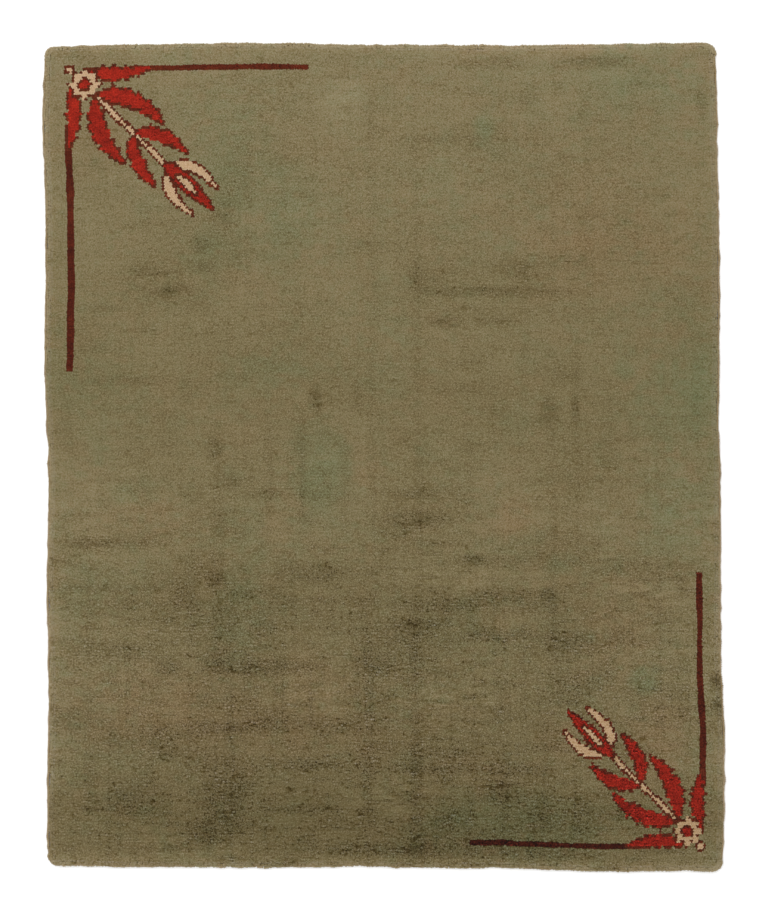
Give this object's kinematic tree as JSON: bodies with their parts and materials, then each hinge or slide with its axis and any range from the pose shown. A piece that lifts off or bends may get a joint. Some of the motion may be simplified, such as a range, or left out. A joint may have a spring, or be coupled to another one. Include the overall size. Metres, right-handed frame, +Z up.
{
  "type": "rya rug",
  "caption": "Flat rectangular hand-knotted wool rug with dense cut pile, overcast long sides, and leafy ornament with thin border lines in opposite corners.",
  "frame": {"origin": "on the floor, under the middle of the rug's box", "axes": "+Z up, out of the pile; +Y along the rug's length to its head end; +X across its width to the right"},
  "size_m": [1.7214, 2.0926, 0.0163],
  "materials": {
    "pile_wool": "dense cut wool pile, olive brown, with red, maroon and cream corner ornament",
    "selvage_wool": "thick wool yarn overcast side by side, tan brown"
  },
  "bodies": {
    "root": {"rug_body": "pile_wool", "selvage_left": "selvage_wool", "selvage_right": "selvage_wool"}
  },
  "joints": []
}
